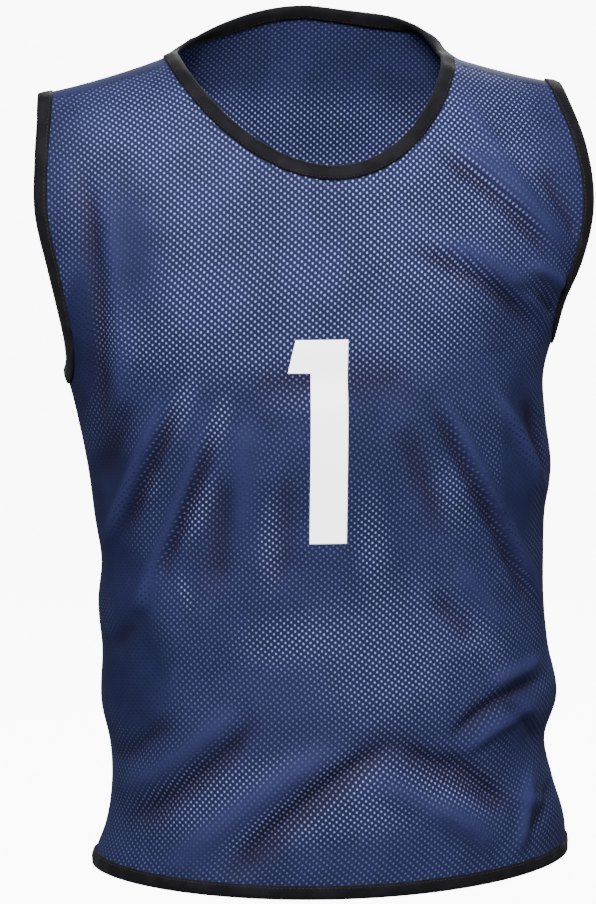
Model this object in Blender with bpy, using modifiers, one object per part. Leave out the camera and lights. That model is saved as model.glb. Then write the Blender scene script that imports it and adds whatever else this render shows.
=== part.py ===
"""A sleeveless mesh training bib, hollow as worn: two knit panels and four folded tapes.

Metres, +Z up. The front faces -Y and +X is at the right of someone who looks at the front.
The origin lies midway between the two points where the shoulder seams meet the neck.
A place on a panel is given by two values. "across" runs from -1 at the left side seam to
+1 at the right one, and "reach" is the way down the cloth from the shoulder line.
"""
import math

import bmesh
import bpy
import numpy as np

OBJECT_NAME = "mesh_training_bib"

# Cloth and tape
CLOTH_WALL = 0.0012
TAPE_WALL = 0.0009
TAPE_WIDTH = 0.0105
TAPE_CLEAR = 0.0008
SEAM_GAP = 0.0004

# Hollow form
CROWN = 0.200          # height over which front and back close to the shoulder line
HEM_LEVEL = -0.6720
HEM_DIP = 0.0060       # the hem hangs lower at its middle than at the side seams
HEM_RISE = {"left": 0.0000, "right": 0.0050}
SHOULDER_SLOPE = 0.385
SLOPE_LEAN = 0.030     # the left shoulder falls a little more steeply than the right one
SLOPE_EASE = 1.00      # the slope grows gentler towards the tips
LEAN_SPAN = 0.050
CROWN_SOFTNESS = 0.0550
SLOPE_ENDS = -0.260    # level below which the shoulder slope is no longer felt

# Neckline
NECK_MIDDLE = 0.0045
NECK_HALF = 0.1080
FRONT_NECK_DEPTH = 0.0870
FRONT_NECK_ROUND = 1.60
FRONT_NECK_LEAN = 0.0100
BACK_NECK_REACH = 0.0580
BACK_NECK_ROUND = 0.81
BACK_NECK_LEAN = 0.0070

# Stand of the cloth behind the neck
COLLAR_RISE = 0.0480
COLLAR_MIDDLE = 0.0180
COLLAR_SPAN = 0.1790
COLLAR_POWER_LEFT = 1.5
COLLAR_POWER_RIGHT = 3.2
COLLAR_START = 0.0560
COLLAR_EDGE = 0.0980   # beyond this far from the middle, the stand falls away to the shoulders
COLLAR_FALL = 0.0620
COLLAR_ENDS = -0.170

# Armholes: across share at the shoulder tip and at mid height, and the underarm level
TIP_ACROSS = 0.660
ARM_ACROSS = {"front": 0.660, "back": 0.590}
ARM_ROUND = 2.6
UNDERARM_LEVEL = {"left": -0.2570, "right": -0.2270}
TIP_RETURN = 0.55      # share of the armhole's height above which both edges meet the tip

# Grids: counts of cells
SHOULDER_COLUMNS = {"front": 8, "back": 7}
NECK_COLUMNS = {"front": 22, "back": 20}
SIDE_ROWS = 18
ARM_ROWS = 19
DENSE = 240
SETTLE_ROUNDS = 30
RELAX_ROUNDS = 10
SMALL_STEP = 1e-4      # for slopes of the form
WELD = 1e-6

# Folds fade out towards every edge of a panel, and towards their own two ends
FADE_START = 0.012
FADE_LENGTH = 0.030
FOLD_END_SHARE = 0.3

# Sections from the shoulder line to the hem
SECTION_COLUMNS = ("level", "left", "right", "front", "back")
SECTIONS = (
    (-0.690, 0.1780, 0.2260, 0.118, 0.106),
    (-0.665, 0.1745, 0.2240, 0.118, 0.106),
    (-0.640, 0.1655, 0.2215, 0.118, 0.105),
    (-0.605, 0.1600, 0.2110, 0.118, 0.102),
    (-0.570, 0.1610, 0.2040, 0.117, 0.098),
    (-0.535, 0.1680, 0.2140, 0.115, 0.095),
    (-0.490, 0.1670, 0.2060, 0.113, 0.092),
    (-0.450, 0.1700, 0.2020, 0.112, 0.090),
    (-0.415, 0.1670, 0.2015, 0.112, 0.090),
    (-0.380, 0.1720, 0.2020, 0.114, 0.092),
    (-0.340, 0.1770, 0.2070, 0.118, 0.096),
    (-0.300, 0.1845, 0.2020, 0.121, 0.101),
    (-0.260, 0.1945, 0.2000, 0.122, 0.105),
    (-0.230, 0.2060, 0.2080, 0.121, 0.107),
    (-0.200, 0.2190, 0.2210, 0.120, 0.108),
    (-0.160, 0.2350, 0.2440, 0.118, 0.108),
    (-0.100, 0.2530, 0.2640, 0.115, 0.108),
    (-0.050, 0.2540, 0.2620, 0.113, 0.106),
    (0.000, 0.2490, 0.2455, 0.112, 0.104),
)

# Main folds, seen from the front: both ends, a sideways bend, half width and height.
# A ridge has a positive height and a trough a negative one.
FOLD_COLUMNS = ("x_from", "z_from", "x_to", "z_to", "bend", "half", "height")
FOLDS = {
    "front": (
        (-0.186, -0.075, -0.170, -0.345, 0.008, 0.018, -0.0040),
        (-0.170, -0.400, -0.134, -0.288, 0.000, 0.014, 0.0045),
        (-0.160, -0.395, -0.112, -0.272, 0.004, 0.011, -0.0045),
        (-0.140, -0.432, -0.086, -0.295, 0.004, 0.015, 0.0055),
        (-0.124, -0.440, -0.066, -0.268, 0.004, 0.012, -0.0050),
        (-0.082, -0.400, -0.052, -0.278, 0.004, 0.014, 0.0035),
        (-0.150, -0.578, -0.060, -0.526, 0.002, 0.013, 0.0045),
        (-0.120, -0.592, -0.024, -0.526, 0.006, 0.012, -0.0045),
        (-0.084, -0.660, 0.098, -0.543, -0.012, 0.016, -0.0035),
        (0.124, -0.036, 0.214, -0.166, 0.004, 0.012, 0.0055),
        (0.128, -0.080, 0.198, -0.160, 0.002, 0.012, -0.0050),
        (0.100, -0.140, 0.200, -0.190, -0.004, 0.011, 0.0045),
        (0.100, -0.158, 0.176, -0.222, -0.006, 0.013, -0.0050),
        (0.186, -0.350, 0.147, -0.284, 0.000, 0.012, 0.0045),
        (0.160, -0.258, 0.194, -0.345, 0.002, 0.016, -0.0060),
        (0.174, -0.434, 0.102, -0.268, -0.004, 0.014, 0.0060),
        (0.170, -0.445, 0.083, -0.276, -0.006, 0.012, -0.0055),
        (0.096, -0.408, 0.058, -0.314, -0.004, 0.015, 0.0035),
        (0.204, -0.511, 0.104, -0.554, -0.010, 0.010, -0.0050),
        (0.190, -0.500, 0.150, -0.509, 0.000, 0.010, 0.0040),
        (0.098, -0.558, 0.158, -0.618, 0.006, 0.012, -0.0035),
        (0.154, -0.521, 0.194, -0.574, 0.004, 0.009, -0.0035),
        (-0.070, -0.262, 0.100, -0.262, 0.010, 0.028, -0.0030),
    ),
    "back": (
        (-0.160, -0.110, -0.070, -0.230, -0.010, 0.016, -0.0045),
        (-0.176, -0.160, -0.090, -0.262, -0.008, 0.014, 0.0045),
        (0.172, -0.100, 0.086, -0.215, 0.010, 0.016, -0.0045),
        (0.190, -0.150, 0.104, -0.250, 0.008, 0.014, 0.0050),
        (-0.164, -0.430, -0.074, -0.330, 0.008, 0.014, -0.0055),
        (-0.160, -0.462, -0.060, -0.366, 0.008, 0.014, 0.0050),
        (-0.156, -0.495, -0.050, -0.418, 0.006, 0.013, -0.0045),
        (0.196, -0.420, 0.104, -0.300, -0.008, 0.014, -0.0055),
        (0.192, -0.455, 0.088, -0.345, -0.008, 0.014, 0.0055),
        (0.194, -0.486, 0.070, -0.405, -0.006, 0.013, -0.0045),
        (-0.130, -0.640, -0.104, -0.530, 0.004, 0.016, -0.0040),
        (-0.030, -0.655, -0.012, -0.520, -0.004, 0.018, 0.0040),
        (0.070, -0.650, 0.060, -0.540, 0.004, 0.016, -0.0040),
        (0.168, -0.645, 0.146, -0.545, -0.004, 0.015, 0.0035),
    ),
}

# Looks of the two materials: colour, roughness
KNIT_LOOK = ((0.026, 0.044, 0.150, 1.0), 0.75)
TAPE_LOOK = ((0.014, 0.014, 0.017, 1.0), 0.80)

QUARTER = CROWN * math.pi / 2
SIDES = ("front", "back")
FACING = {"front": -1.0, "back": 1.0}
HANDS = ("left", "right")
SIGN = {"left": -1.0, "right": 1.0}

# Which way round an edge runs, so that the cloth lies on the same hand of all of them
EDGE_TURN = {"neck": 1.0, "hem": -1.0, "left": 1.0, "right": -1.0}


def column(table, names, name):
    return np.array([row[names.index(name)] for row in table])


def read_section(name, level):
    """A smooth curve through one column of the section table."""
    xs = column(SECTIONS, SECTION_COLUMNS, "level")
    ys = column(SECTIONS, SECTION_COLUMNS, name)
    slopes = np.gradient(ys, xs)
    level = np.clip(level, xs[0], xs[-1])
    i = np.clip(np.searchsorted(xs, level) - 1, 0, len(xs) - 2)
    step = xs[i + 1] - xs[i]
    t = (level - xs[i]) / step
    start = (1 + 2 * t) * (1 - t) ** 2 * ys[i] + t * (1 - t) ** 2 * step * slopes[i]
    end = t * t * (3 - 2 * t) * ys[i + 1] + t * t * (t - 1) * step * slopes[i + 1]
    return start + end


def soft_step(value):
    value = np.clip(value, 0.0, 1.0)
    return value * value * (3 - 2 * value)


def level_of(reach):
    """Height before the shoulder slope is added, and how far the section has filled out."""
    turn = np.clip(reach, -QUARTER, QUARTER) / CROWN
    level = -CROWN * (1 - np.cos(turn)) - np.maximum(reach - QUARTER, 0.0)
    return level, np.sin(turn)


def reach_of(level):
    turn = np.arccos(np.clip(1 + level / CROWN, 0.0, 1.0))
    return CROWN * turn + np.maximum(-CROWN - level, 0.0)


def slope_lift(x, level):
    """Height that the shoulder line adds: positive at the neck, negative at the tips."""
    aside = x - NECK_MIDDLE
    slope = SHOULDER_SLOPE - SLOPE_LEAN * np.tanh(aside / LEAN_SPAN)
    past_neck = np.hypot(aside, CROWN_SOFTNESS) - math.hypot(NECK_HALF, CROWN_SOFTNESS)
    drop = (slope - SLOPE_EASE * past_neck) * past_neck
    return -drop * soft_step(1 - level / SLOPE_ENDS)


def collar_lift(x, y, level):
    """Height that the cloth behind the neck gains where it stands up to its binding."""
    share = (x - COLLAR_MIDDLE) / COLLAR_SPAN
    power = np.where(share < 0, COLLAR_POWER_LEFT, COLLAR_POWER_RIGHT)
    width = np.clip(1 - np.abs(share) ** power, 0.0, 1.0)
    width = width * soft_step(1 - (np.abs(x - NECK_MIDDLE) - COLLAR_EDGE) / COLLAR_FALL)
    return COLLAR_RISE * width * soft_step(y / COLLAR_START) * soft_step(1 - level / COLLAR_ENDS)


def surface(side, across, reach):
    """The smooth form of a panel, before its folds."""
    level, fullness = level_of(reach)
    left = read_section("left", level)
    right = read_section("right", level)
    depth = read_section(side, level)
    turn = across * math.pi / 2
    x = (right - left) / 2 + (right + left) / 2 * np.sin(turn)
    inward = depth * np.cos(turn) * fullness
    z = level + slope_lift(x, level)
    if side == "back":
        z = z + collar_lift(x, inward, level)
    return np.stack([x, FACING[side] * (inward + SEAM_GAP / 2), z], axis=-1)


def slopes_at(side, across, reach):
    """How the form moves for a change of each of the two values of a place."""
    step = SMALL_STEP
    by_across = surface(side, across + step, reach) - surface(side, across - step, reach)
    by_reach = surface(side, across, reach + step) - surface(side, across, reach - step)
    return by_across / (2 * step), by_reach / (2 * step)


def outward(side, across, reach):
    """Unit normal of the smooth form, away from the hollow."""
    by_across, by_reach = slopes_at(side, across, reach)
    normal = np.cross(by_reach, by_across) * -FACING[side]
    return normal / np.linalg.norm(normal, axis=-1, keepdims=True)


def fold_height(side, x, z):
    """Sum of the fold table at points seen from the front."""
    total = np.zeros_like(x)
    for row in FOLDS[side]:
        fold = dict(zip(FOLD_COLUMNS, row))
        run_x, run_z = fold["x_to"] - fold["x_from"], fold["z_to"] - fold["z_from"]
        length = math.hypot(run_x, run_z)
        from_x, from_z = x - fold["x_from"], z - fold["z_from"]
        share = (from_x * run_x + from_z * run_z) / length ** 2
        aside = (from_z * run_x - from_x * run_z) / length
        aside = aside - fold["bend"] * 4 * share * (1 - share)
        ends = soft_step(share / FOLD_END_SHARE) * soft_step((1 - share) / FOLD_END_SHARE)
        total = total + fold["height"] * ends * np.exp(-(aside / fold["half"]) ** 2)
    return total


def even(side, across, reach, count, tape_at=""):
    """A dense line on a panel, read again at equal steps of its real length.

    Where tape_at names its start or its end, that step is the tape's width instead.
    """
    points = surface(side, across, reach)
    run = running_length(points)
    start, end = 0.0, run[-1]
    if "start" in tape_at:
        start, count = start + TAPE_WIDTH, count - 1
    if "end" in tape_at:
        end, count = end - TAPE_WIDTH, count - 1
    marks = np.linspace(start, end, count + 1)
    marks = np.unique(np.concatenate([[0.0], marks, [run[-1]]]))
    return np.stack([np.interp(marks, run, across), np.interp(marks, run, reach)], axis=-1)


def running_length(points):
    steps = np.linalg.norm(np.diff(points, axis=0), axis=1)
    return np.concatenate([[0.0], np.cumsum(steps)])


def hem_line(side, count):
    """Hem from side to side, in steps that are shorter where the cloth turns round the sides."""
    across = np.linspace(-1.0, 1.0, count + 1)
    dip = HEM_DIP * np.cos(across * math.pi / 2) ** 2
    rise = HEM_RISE["left"] + (HEM_RISE["right"] - HEM_RISE["left"]) * (across + 1) / 2
    return np.stack([across, reach_of(HEM_LEVEL - dip + rise)], axis=-1)


def side_line(side, hand, count):
    """Side seam from the hem to the underarm."""
    hem_reach = reach_of(HEM_LEVEL + HEM_RISE[hand])
    reach = np.linspace(hem_reach, reach_of(UNDERARM_LEVEL[hand]), DENSE)
    return even(side, np.full(DENSE, SIGN[hand]), reach, count, "start end")


def armhole_line(side, hand, count):
    """Armhole edge from the underarm to the shoulder tip, rounded at the bottom."""
    turn = np.linspace(0.0, math.pi / 2, DENSE)
    left_over = np.cos(turn) ** (2 / ARM_ROUND)
    cut_in = np.sin(turn) ** (2 / ARM_ROUND)
    across = 1 - (1 - ARM_ACROSS[side]) * cut_in
    back_to_tip = soft_step((1 - left_over - TIP_RETURN) / (1 - TIP_RETURN))
    across = across + (TIP_ACROSS - ARM_ACROSS[side]) * back_to_tip
    reach = reach_of(UNDERARM_LEVEL[hand] * left_over)
    return even(side, SIGN[hand] * across, reach, count)


def across_of(x, level):
    left = read_section("left", level)
    right = read_section("right", level)
    return np.arcsin((x - (right - left) / 2) / ((right + left) / 2)) * 2 / math.pi


def neck_line(side, count):
    """Neckline from its left end to its right one, first seen from the front or from above."""
    turn = np.linspace(0.0, math.pi, DENSE)
    lean = FRONT_NECK_LEAN if side == "front" else BACK_NECK_LEAN
    x = NECK_MIDDLE - NECK_HALF * np.cos(turn) + lean * np.sin(turn) ** 2
    z = -FRONT_NECK_DEPTH * np.sin(turn) ** FRONT_NECK_ROUND
    y = BACK_NECK_REACH * np.sin(turn) ** BACK_NECK_ROUND
    level = np.zeros(DENSE)
    for _ in range(SETTLE_ROUNDS):
        if side == "front":
            level = np.minimum(z - slope_lift(x, level), 0.0)
        else:
            full = read_section(side, level) * np.cos(across_of(x, level) * math.pi / 2)
            level = level_of(CROWN * np.arcsin(y / full))[0]
    return even(side, across_of(x, level), reach_of(level), count)


def shoulder_line(side, start, end, count):
    across = np.linspace(start, end, DENSE)
    return even(side, across, np.zeros(DENSE), count, "start end")


def outline(side, shoulder_columns, neck_columns, side_rows, arm_rows):
    """The four sides of a panel's grid, each from left to right or from hem to shoulder."""
    columns = 2 * shoulder_columns + neck_columns
    neck = neck_line(side, neck_columns)
    left_shoulder = shoulder_line(side, -TIP_ACROSS, neck[0][0], shoulder_columns)
    right_shoulder = shoulder_line(side, neck[-1][0], TIP_ACROSS, shoulder_columns)
    top = np.concatenate([left_shoulder, neck[1:-1], right_shoulder])
    sides = {}
    for hand in HANDS:
        seam = side_line(side, hand, side_rows)
        sides[hand] = np.concatenate([seam, armhole_line(side, hand, arm_rows)[1:]])
    return hem_line(side, columns), top, sides["left"], sides["right"]


def shares(side, *lines):
    """How far along each step of some lines lies, from 0 to 1, on average."""
    runs = [running_length(surface(side, line[:, 0], line[:, 1])) for line in lines]
    return sum(run / run[-1] for run in runs) / len(runs)


def fill_between(side, hem, top, left, right):
    """Blend four sides into a grid of places, as a cloth stretched between them."""
    u = shares(side, hem, top)[None, :, None]
    v = shares(side, left, right)[:, None, None]
    grid = (1 - v) * hem[None] + v * top[None] + (1 - u) * left[:, None] + u * right[:, None]
    corners = (1 - u) * (1 - v) * hem[0] + u * (1 - v) * hem[-1]
    corners = corners + (1 - u) * v * top[0] + u * v * top[-1]
    return grid - corners


def step_inland(side, place, along):
    """The place one tape width in from an edge that runs along a given direction."""
    across, reach = place
    inland = inland_direction(side, place, along)
    slopes = np.stack(slopes_at(side, across, reach), axis=-1)
    move = np.linalg.lstsq(slopes, inland * TAPE_WIDTH, rcond=None)[0]
    return np.array([min(max(across + move[0], -1.0), 1.0), max(reach + move[1], 0.0)])


def inland_direction(side, place, along):
    inland = np.cross(along, outward(side, *place))
    return inland / np.linalg.norm(inland)


def inner_line(side, edge_name, line):
    """The line one tape width in from an edge, without its two ends."""
    turn = EDGE_TURN[edge_name] * -FACING[side]
    edge = surface(side, line[:, 0], line[:, 1])
    along = (edge[2:] - edge[:-2]) * turn
    return np.array([step_inland(side, place, run) for place, run in zip(line[1:-1], along)])


def lay_border(side, grid, shoulder_columns, side_rows):
    """Move the first line of places in from each taped edge to the tape's width, then relax.

    Returns the grid and the corner places, each with the two places it lies midway between.
    """
    fixed = np.zeros(grid.shape[:2], bool)
    fixed[0] = fixed[-1] = True
    fixed[:, 0] = fixed[:, -1] = True
    last_row, last_column = grid.shape[0] - 1, grid.shape[1] - 1
    first, last = shoulder_columns, last_column - shoulder_columns
    grid[1, 1:-1] = inner_line(side, "hem", grid[0])
    fixed[1] = True
    grid[last_row - 1, first + 1:last] = inner_line(side, "neck", grid[last_row, first:last + 1])
    fixed[last_row - 1, first:last + 1] = True
    midway = {
        (last_row - 1, first): ((last_row, first - 1), (last_row - 1, first + 1)),
        (last_row - 1, last): ((last_row, last + 1), (last_row - 1, last - 1)),
    }
    for hand, edge, inner in (("left", 0, 1), ("right", last_column, last_column - 1)):
        grid[side_rows + 1:last_row, inner] = inner_line(side, hand, grid[side_rows:, edge])
        fixed[side_rows:, inner] = True
        midway[(side_rows, inner)] = ((side_rows - 1, edge), (side_rows + 1, inner))
    for corner, (one, other) in midway.items():
        grid[corner] = (grid[one] + grid[other]) / 2
    for _ in range(RELAX_ROUNDS):
        mean = (grid[:-2, 1:-1] + grid[2:, 1:-1] + grid[1:-1, :-2] + grid[1:-1, 2:]) / 4
        grid[1:-1, 1:-1] = np.where(fixed[1:-1, 1:-1, None], grid[1:-1, 1:-1], mean)
    return grid, midway


def edge_fade(side, points):
    """0 along every edge of a panel, and 1 from a little way in."""
    lines = outline(side, DENSE // 4, DENSE // 2, DENSE // 2, DENSE // 2)
    border = np.concatenate([surface(side, line[:, 0], line[:, 1]) for line in lines])
    flat = points.reshape(-1, 3)
    nearest = np.array([np.min(np.linalg.norm(border - point, axis=1)) for point in flat])
    return soft_step((nearest - FADE_START) / FADE_LENGTH).reshape(points.shape[:-1])


def panel_points(side, shoulder_columns, neck_columns, side_rows, arm_rows):
    lines = outline(side, shoulder_columns, neck_columns, side_rows, arm_rows)
    grid = fill_between(side, *lines)
    grid, midway = lay_border(side, grid, shoulder_columns, side_rows)
    across, reach = grid[..., 0], grid[..., 1]
    points = surface(side, across, reach)
    heights = fold_height(side, points[..., 0], points[..., 2]) * edge_fade(side, points)
    points = points + outward(side, across, reach) * heights[..., None]
    for corner, (one, other) in midway.items():
        points[corner] = (points[one] + points[other]) / 2
    return points


def grid_mesh(points):
    """A flat grid of cells whose vertices are moved to the rows of points.

    Each cell is split along its shorter diagonal, so that a tape and the cloth under it
    are split alike.
    """
    rows, columns = points.shape[0] - 1, points.shape[1] - 1
    mesh = bmesh.new()
    bmesh.ops.create_grid(mesh, x_segments=columns, y_segments=rows, size=1.0)
    for vertex in mesh.verts:
        i = round((vertex.co.x + 1) / 2 * columns)
        j = round((vertex.co.y + 1) / 2 * rows)
        vertex.co = points[j, i]
    bmesh.ops.triangulate(mesh, faces=mesh.faces, quad_method="SHORT_EDGE")
    return mesh


def knit_material():
    return plain_material("navy_mesh_knit", *KNIT_LOOK)


def tape_material():
    return plain_material("black_binding_tape", *TAPE_LOOK)


def plain_material(name, colour, roughness):
    material = bpy.data.materials.get(name) or bpy.data.materials.new(name)
    material.use_nodes = True
    shader = material.node_tree.nodes["Principled BSDF"]
    shader.inputs["Base Color"].default_value = colour
    shader.inputs["Roughness"].default_value = roughness
    shader.inputs["Metallic"].default_value = 0.0
    return material


def finish_object(name, mesh, material, collection):
    data = bpy.data.meshes.new(name)
    mesh.to_mesh(data)
    mesh.free()
    data.shade_smooth()
    data.materials.append(material)
    piece = bpy.data.objects.new(name, data)
    collection.objects.link(piece)
    return piece


def make_panel(side, collection):
    points = panel_points(side, SHOULDER_COLUMNS[side], NECK_COLUMNS[side], SIDE_ROWS, ARM_ROWS)
    mesh = grid_mesh(points)
    mesh.normal_update()
    facing = sum(face.normal.y * face.calc_area() for face in mesh.faces)
    if facing * FACING[side] < 0:
        bmesh.ops.reverse_faces(mesh, faces=mesh.faces)
    piece = finish_object(f"{side}_panel", mesh, knit_material(), collection)
    wall = piece.modifiers.new("wall", "SOLIDIFY")
    wall.thickness = CLOTH_WALL
    wall.offset = 1.0
    return piece


def tape_sections(edge_name, ring):
    """Cross-sections of a tape folded over a closed edge.

    The ring is a list of (side, place). Each section is a U whose legs reach one tape width
    in over the cloth, outside and inside.
    """
    edge = np.array([surface(side, *place) for side, place in ring])
    ahead = (np.roll(edge, -1, axis=0) - np.roll(edge, 1, axis=0)) * EDGE_TURN[edge_name]
    over, under = CLOTH_WALL + TAPE_CLEAR, -TAPE_CLEAR
    rows = []
    for (side, place), point, along in zip(ring, edge, ahead):
        normal = outward(side, *place)
        inland = inland_direction(side, place, along)
        leg_place = step_inland(side, place, along)
        leg, leg_normal = surface(side, *leg_place), outward(side, *leg_place)
        rim = point - inland * TAPE_CLEAR
        rows.append([
            leg + leg_normal * (over + TAPE_WALL),
            rim + normal * (over + TAPE_WALL),
            rim + normal * CLOTH_WALL / 2 - inland * TAPE_WALL,
            rim + normal * (under - TAPE_WALL),
            leg + leg_normal * (under - TAPE_WALL),
            leg + leg_normal * under,
            rim + normal * under,
            rim + normal * over,
            leg + leg_normal * over,
        ])
    return np.array(rows)


def make_tape(name, edge_name, ring, collection):
    """Loft the sections as a closed ring: a grid whose opposite borders are welded."""
    sections = tape_sections(edge_name, ring)
    closed = np.concatenate([sections, sections[:1]])
    closed = np.concatenate([closed, closed[:, :1]], axis=1)
    mesh = grid_mesh(closed)
    bmesh.ops.remove_doubles(mesh, verts=mesh.verts, dist=WELD)
    bmesh.ops.recalc_face_normals(mesh, faces=mesh.faces)
    return finish_object(name, mesh, tape_material(), collection)


def ring_of(line_of, counts):
    """A closed edge: along the front's line, then back along the back's."""
    front, back = line_of("front", counts["front"]), line_of("back", counts["back"])
    return [("front", place) for place in front] + [("back", place) for place in back[-2:0:-1]]


def main():
    for old in list(bpy.data.objects):
        bpy.data.objects.remove(old, do_unlink=True)
    collection = bpy.data.collections.new(OBJECT_NAME)
    bpy.context.scene.collection.children.link(collection)
    for side in SIDES:
        make_panel(side, collection)
    neck_counts = {side: NECK_COLUMNS[side] for side in SIDES}
    hem_counts = {side: 2 * SHOULDER_COLUMNS[side] + NECK_COLUMNS[side] for side in SIDES}
    arm_counts = {side: ARM_ROWS for side in SIDES}
    make_tape("neck_binding", "neck", ring_of(neck_line, neck_counts), collection)
    make_tape("hem_binding", "hem", ring_of(hem_line, hem_counts), collection)
    for hand in HANDS:
        ring = ring_of(lambda side, count: armhole_line(side, hand, count), arm_counts)
        make_tape(f"{hand}_armhole_binding", hand, ring, collection)


main()
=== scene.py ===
# %% [markdown]
# # A mesh training bib
#
# A training bib is a sleeveless top that is pulled over other clothes, so that two teams can
# tell each other apart. It is cut from two pieces of mesh knit, a front and a back, and every
# raw edge is bound with a folded tape. This one is shown filled out, as if it were worn.
#
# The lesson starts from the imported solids. Their sizes are fixed, so the cloth that we see is
# made again, finer, from the same named sizes, and the plain solids are hidden.

# %% Load the solids
import math

import bmesh
import bpy
import numpy as np
from mathutils import Matrix, Vector


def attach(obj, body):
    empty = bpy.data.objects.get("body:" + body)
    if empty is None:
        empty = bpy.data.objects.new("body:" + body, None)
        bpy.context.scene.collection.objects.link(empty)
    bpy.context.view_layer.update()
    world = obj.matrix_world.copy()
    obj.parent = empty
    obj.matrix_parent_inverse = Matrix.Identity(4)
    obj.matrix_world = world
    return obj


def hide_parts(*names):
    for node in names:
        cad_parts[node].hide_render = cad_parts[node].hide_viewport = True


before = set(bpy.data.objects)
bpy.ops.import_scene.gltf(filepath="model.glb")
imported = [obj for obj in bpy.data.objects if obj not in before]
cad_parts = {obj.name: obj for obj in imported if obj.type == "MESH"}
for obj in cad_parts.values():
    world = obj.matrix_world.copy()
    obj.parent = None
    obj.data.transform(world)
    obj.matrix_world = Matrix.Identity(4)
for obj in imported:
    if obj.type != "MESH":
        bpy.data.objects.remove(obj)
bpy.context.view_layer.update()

print("solids:", sorted(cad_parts))

# %% [markdown]
# ## The camera
#
# The camera goes first, because everything else is judged through it. It looks a little down
# on the chest, from slightly to the viewer's left, with a long lens as in a shop's studio.

# %% The camera
PICTURE_HEIGHT = 904
METRES_A_PIXEL = 0.00083
AIM = Vector((-0.004, 0.0, -0.3275))
AZIMUTH, ELEVATION, DISTANCE = -6.0, 8.0, 2.6
SENSOR = 36.0
FARTHEST = 60.0


def towards(azimuth, elevation):
    """Unit vector from the bib towards a viewer."""
    flat = math.cos(elevation)
    return Vector((math.sin(azimuth) * flat, -math.cos(azimuth) * flat, math.sin(elevation)))


def new_object(name, data):
    made = bpy.data.objects.new(name, data)
    bpy.context.scene.collection.objects.link(made)
    return made


def aim_at_bib(name, data, azimuth, elevation, away):
    """A camera or a lamp that looks at the middle of the bib."""
    looker = new_object(name, data)
    back = towards(math.radians(azimuth), math.radians(elevation))
    looker.location = AIM + back * away
    looker.rotation_mode = "QUATERNION"
    looker.rotation_quaternion = (-back).to_track_quat("-Z", "Y")
    return looker


def make_camera():
    data = bpy.data.cameras.new("studio_camera")
    data.sensor_width = SENSOR
    data.lens = SENSOR * DISTANCE / (PICTURE_HEIGHT * METRES_A_PIXEL)
    data.clip_end = FARTHEST
    camera = aim_at_bib("studio_camera", data, AZIMUTH, ELEVATION, DISTANCE)
    bpy.context.scene.camera = camera
    return data


print("lens in mm:", round(make_camera().lens, 1))

# %% [markdown]
# ## The form of the cloth
#
# A worn bib is close to a stack of ovals. Each row of the table below is one oval: its level
# under the shoulders, how far it reaches to the left and right, and how deep it is in front
# and behind. A smooth curve runs through each column. Above CROWN the ovals close towards the
# shoulder line, as a dome does. A place on the cloth is then two numbers: "across", from -1 at
# the left side seam to +1 at the right, and "reach", the way down the cloth from the shoulder.

# %% Sizes of the form
CROWN = 0.200
HEM_LEVEL = -0.6720
HEM_DIP = 0.0060
HEM_RISE = {"left": 0.0000, "right": 0.0050}
SHOULDER_SLOPE = 0.385
SLOPE_LEAN = 0.030
SLOPE_EASE = 1.00
LEAN_SPAN = 0.050
CROWN_SOFTNESS = 0.0550
SLOPE_ENDS = -0.260
SEAM_GAP = 0.0004

SECTION_COLUMNS = ("level", "left", "right", "front", "back")
SECTIONS = (
    (-0.69, 0.178, 0.226, 0.118, 0.106),
    (-0.665, 0.1745, 0.224, 0.118, 0.106),
    (-0.64, 0.1655, 0.2215, 0.118, 0.105),
    (-0.605, 0.16, 0.211, 0.118, 0.102),
    (-0.57, 0.161, 0.204, 0.117, 0.098),
    (-0.535, 0.168, 0.214, 0.115, 0.095),
    (-0.49, 0.167, 0.206, 0.113, 0.092),
    (-0.45, 0.17, 0.202, 0.112, 0.09),
    (-0.415, 0.167, 0.2015, 0.112, 0.09),
    (-0.38, 0.172, 0.202, 0.114, 0.092),
    (-0.34, 0.177, 0.207, 0.118, 0.096),
    (-0.3, 0.1845, 0.202, 0.121, 0.101),
    (-0.26, 0.1945, 0.2, 0.122, 0.105),
    (-0.23, 0.206, 0.208, 0.121, 0.107),
    (-0.2, 0.219, 0.221, 0.12, 0.108),
    (-0.16, 0.235, 0.244, 0.118, 0.108),
    (-0.1, 0.253, 0.264, 0.115, 0.108),
    (-0.05, 0.254, 0.262, 0.113, 0.106),
    (0.0, 0.249, 0.2455, 0.112, 0.104),
)

QUARTER = CROWN * math.pi / 2
SIDES = ("front", "back")
HANDS = ("left", "right")
FACING = {"front": -1.0, "back": 1.0}
SIGN = {"left": -1.0, "right": 1.0}

# %% Read one column of the table as a smooth curve
CHEST_LEVEL = -0.240


def unit(vectors):
    return vectors / np.linalg.norm(vectors, axis=-1, keepdims=True)


def soft_step(value):
    value = np.clip(value, 0.0, 1.0)
    return value * value * (3 - 2 * value)


def read_section(name, level):
    """A smooth curve through the rows of one column."""
    table = np.array(SECTIONS)
    xs, ys = table[:, 0], table[:, SECTION_COLUMNS.index(name)]
    slopes = np.gradient(ys, xs)
    level = np.clip(level, xs[0], xs[-1])
    i = np.clip(np.searchsorted(xs, level) - 1, 0, len(xs) - 2)
    step = xs[i + 1] - xs[i]
    t = (level - xs[i]) / step
    start = (1 + 2 * t) * (1 - t) ** 2 * ys[i] + t * (1 - t) ** 2 * step * slopes[i]
    end = t * t * (3 - 2 * t) * ys[i + 1] + t * t * (t - 1) * step * slopes[i + 1]
    return start + end


def level_of(reach):
    """Height before the shoulder slope is added, and how far the oval has filled out."""
    turn = np.clip(reach, -QUARTER, QUARTER) / CROWN
    level = -CROWN * (1 - np.cos(turn)) - np.maximum(reach - QUARTER, 0.0)
    return level, np.sin(turn)


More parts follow.
